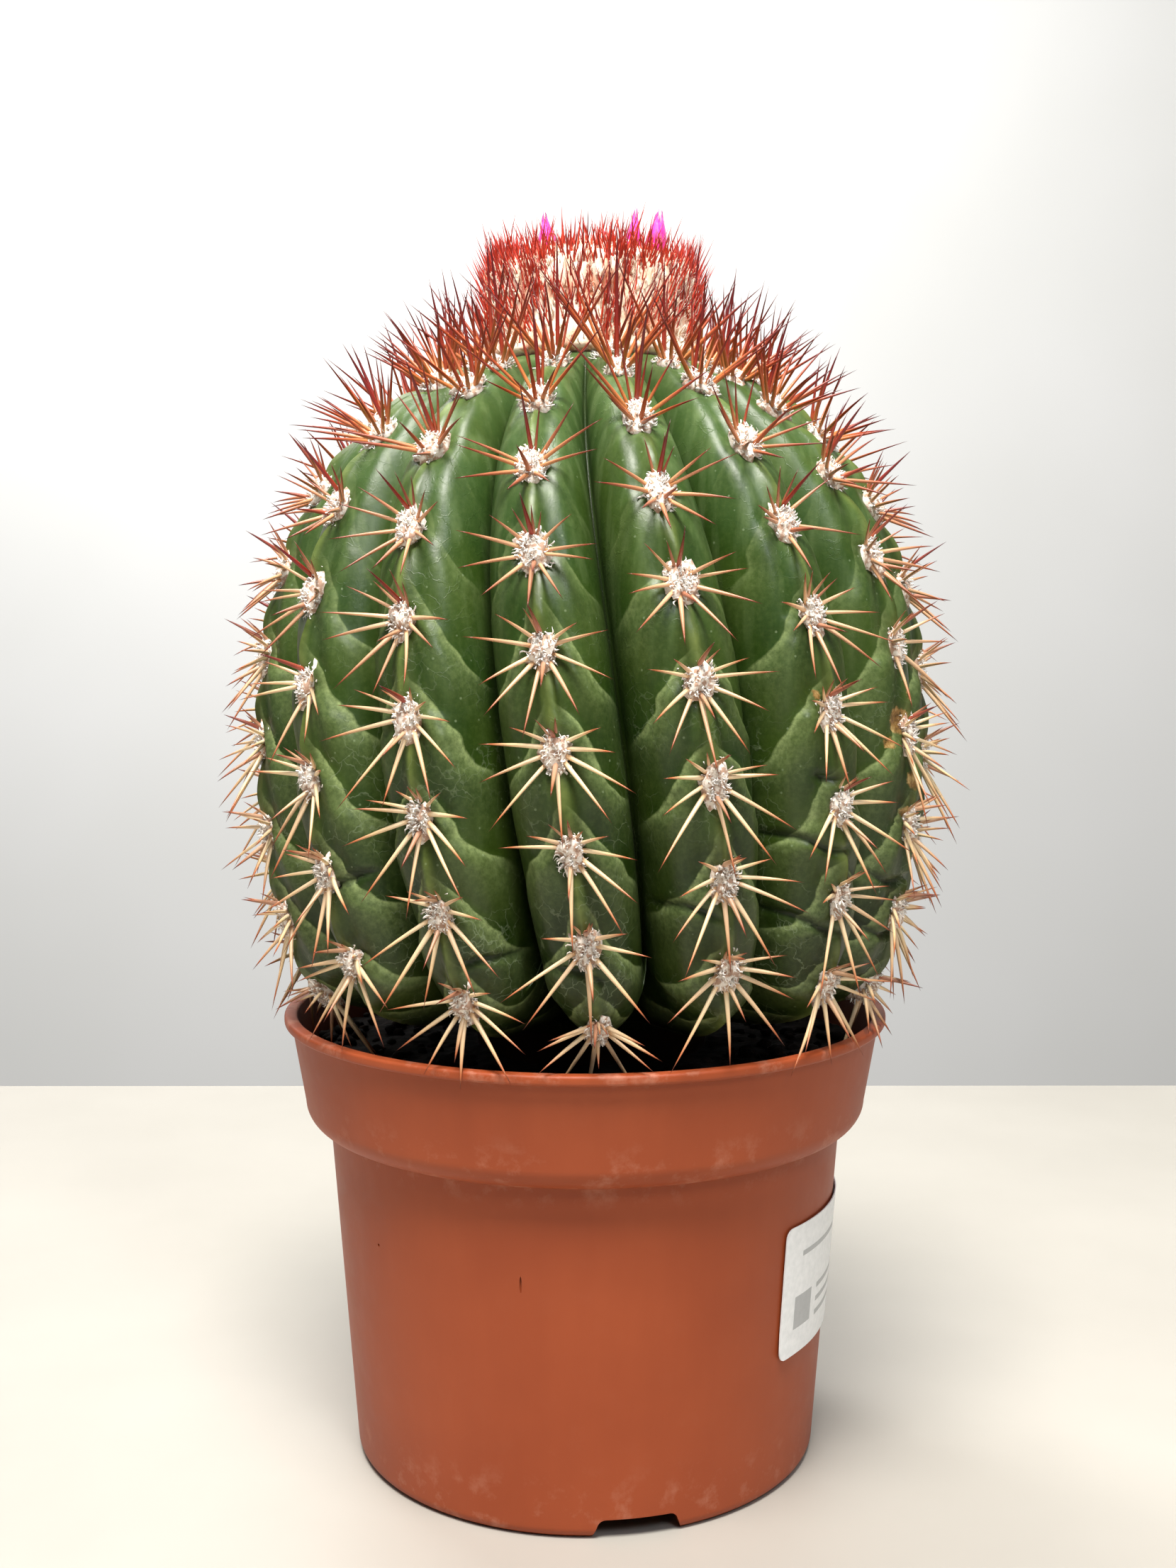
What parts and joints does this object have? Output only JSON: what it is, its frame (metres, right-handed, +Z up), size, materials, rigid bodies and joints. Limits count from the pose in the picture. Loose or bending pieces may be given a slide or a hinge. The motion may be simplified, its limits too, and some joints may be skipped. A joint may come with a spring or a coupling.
{
  "type": "potted round cactus",
  "caption": "Round ribbed cactus with a woolly red flowering cap and spined ribs, growing in soil in a terracotta-coloured plastic pot with a wide collar.",
  "frame": {"origin": "on the pot's axis, at the surface that the pot stands on", "axes": "+Z up along the pot's axis; the side shown in the picture faces -Y"},
  "size_m": [0.1869, 0.187, 0.2804],
  "materials": {
    "terracotta_plastic": "satin injection-moulded polypropylene, brick red, faint scuffs",
    "potting_mix": "dark crumbly peat and bark potting mix",
    "cactus_skin": "waxy semi-gloss living skin",
    "cephalium_wool": "matted cream wool with stiff red bristles",
    "magenta_petal": "soft satin petal",
    "withered_flower": "dry papery",
    "label_paper": "smooth white coated paper label",
    "spine_and_felt": "hard satin spines standing in white felt pads"
  },
  "bodies": {
    "root": {"pot": "terracotta_plastic", "soil": "potting_mix", "stem": "cactus_skin", "cephalium": "cephalium_wool", "flower_1": "magenta_petal", "flower_2": "magenta_petal", "flower_3": "magenta_petal", "flower_4": "magenta_petal", "dried_flower_1": "withered_flower", "dried_flower_2": "withered_flower", "label": "label_paper", "spine_row_01": "spine_and_felt", "spine_row_02": "spine_and_felt", "spine_row_03": "spine_and_felt", "spine_row_04": "spine_and_felt", "spine_row_05": "spine_and_felt", "spine_row_06": "spine_and_felt", "spine_row_07": "spine_and_felt", "spine_row_08": "spine_and_felt", "spine_row_09": "spine_and_felt", "spine_row_10": "spine_and_felt", "spine_row_11": "spine_and_felt", "spine_row_12": "spine_and_felt", "spine_row_13": "spine_and_felt", "spine_row_14": "spine_and_felt", "spine_row_15": "spine_and_felt", "spine_row_16": "spine_and_felt"}
  },
  "joints": []
}
